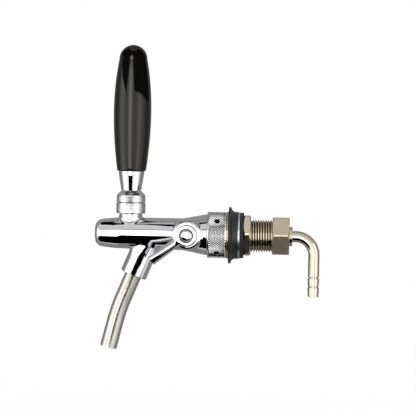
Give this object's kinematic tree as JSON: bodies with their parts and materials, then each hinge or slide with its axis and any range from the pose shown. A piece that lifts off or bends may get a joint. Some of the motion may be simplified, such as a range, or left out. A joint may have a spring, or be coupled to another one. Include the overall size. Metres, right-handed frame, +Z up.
{
  "type": "compensator beer tap",
  "caption": "Beer tap with flow control lever, knurled coupling nut, threaded wall shank, clamp nut and barbed elbow tail.",
  "frame": {"origin": "on the shank's axis, at the back face of the wall flange", "axes": "+X along the shank into the wall, +Z up towards the handle, the spout points to -X and the flow lever is on -Y"},
  "size_m": [0.1598, 0.0426, 0.2164],
  "materials": {
    "chrome": "mirror",
    "satin_chrome": "knurled satin",
    "satin_steel": "fine brushed",
    "black_grip": "polished",
    "black_flange": "satin",
    "rubber": "matt",
    "plated_steel": "zinc plated",
    "nickel_brass": "nickel plated, turned",
    "brass": "turned",
    "seat_plastic": "turned acetal",
    "gasket_fibre": "matt"
  },
  "bodies": {
    "tap": {"tap_body": "chrome", "spout_tube": "satin_steel", "bonnet_nut": "satin_chrome", "lock_ring": "satin_chrome", "ball_seat_lower": "seat_plastic", "ball_seat_upper": "seat_plastic", "ball_seal": "rubber", "spindle_seal": "rubber", "spindle_bush": "brass", "inlet_gasket": "gasket_fibre", "retaining_ring": "brass", "flange": "black_flange", "shank": "nickel_brass"},
    "handle": {"lever_stem": "satin_steel", "ferrule": "chrome", "grip": "black_grip", "grip_insert": "brass"},
    "valve": {"piston": "satin_steel", "valve_seal": "rubber", "piston_nut": "satin_steel"},
    "flow_control": {"flow_lever": "chrome", "lever_cap": "chrome", "spindle": "satin_steel"},
    "compensator": {"compensator_cone": "seat_plastic"},
    "coupling": {"coupling_nut": "satin_chrome"},
    "clamp_washers": {"ring_washer": "plated_steel", "seal_washer": "rubber"},
    "clamp_nut": {"lock_nut": "nickel_brass"},
    "union": {"union_nut": "nickel_brass"},
    "tail": {"tail_elbow": "nickel_brass", "tail_gasket": "gasket_fibre"}
  },
  "joints": [
    {"name": "handle_tilt", "type": "hinge", "parent": "tap", "child": "handle", "pos_m": [-0.0768, 0, 0.02056], "axis": [0, -1, 0], "range_deg": [0, 20]},
    {"name": "piston_slide", "type": "slide", "parent": "tap", "child": "valve", "axis": [1, 0, 0], "range_m": [0, 0.0072]},
    {"name": "flow_lever_turn", "type": "hinge", "parent": "tap", "child": "flow_control", "pos_m": [-0.0358, 0, 0], "axis": [0, 1, 0], "range_deg": [-50, 40]},
    {"name": "compensator_slide", "type": "slide", "parent": "tap", "child": "compensator", "axis": [1, 0, 0], "range_m": [-0.0017, 0.0021]},
    {"name": "coupling_nut_turn", "type": "hinge", "parent": "tap", "child": "coupling", "pos_m": [-0.0148, 0, 0], "axis": [1, 0, 0], "continuous": true},
    {"name": "clamp_slide", "type": "slide", "parent": "tap", "child": "clamp_washers", "axis": [1, 0, 0], "range_m": [0, 0.0146]},
    {"name": "lock_nut_turn", "type": "hinge", "parent": "clamp_washers", "child": "clamp_nut", "pos_m": [0.0063, 0, 0], "axis": [1, 0, 0], "range_deg": [0, 2880]},
    {"name": "union_nut_turn", "type": "hinge", "parent": "tap", "child": "union", "pos_m": [0.03, 0, 0], "axis": [1, 0, 0], "continuous": true},
    {"name": "tail_swivel", "type": "hinge", "parent": "tap", "child": "tail", "pos_m": [0.035, 0, 0], "axis": [1, 0, 0], "continuous": true}
  ],
  "couplings": [
    {"joint": "piston_slide", "follows": "handle_tilt", "m_per_rad": 0.0203},
    {"joint": "compensator_slide", "follows": "flow_lever_turn", "m_per_rad": -0.002325},
    {"joint": "clamp_slide", "follows": "lock_nut_turn", "m_per_rad": 0.00028871}
  ]
}
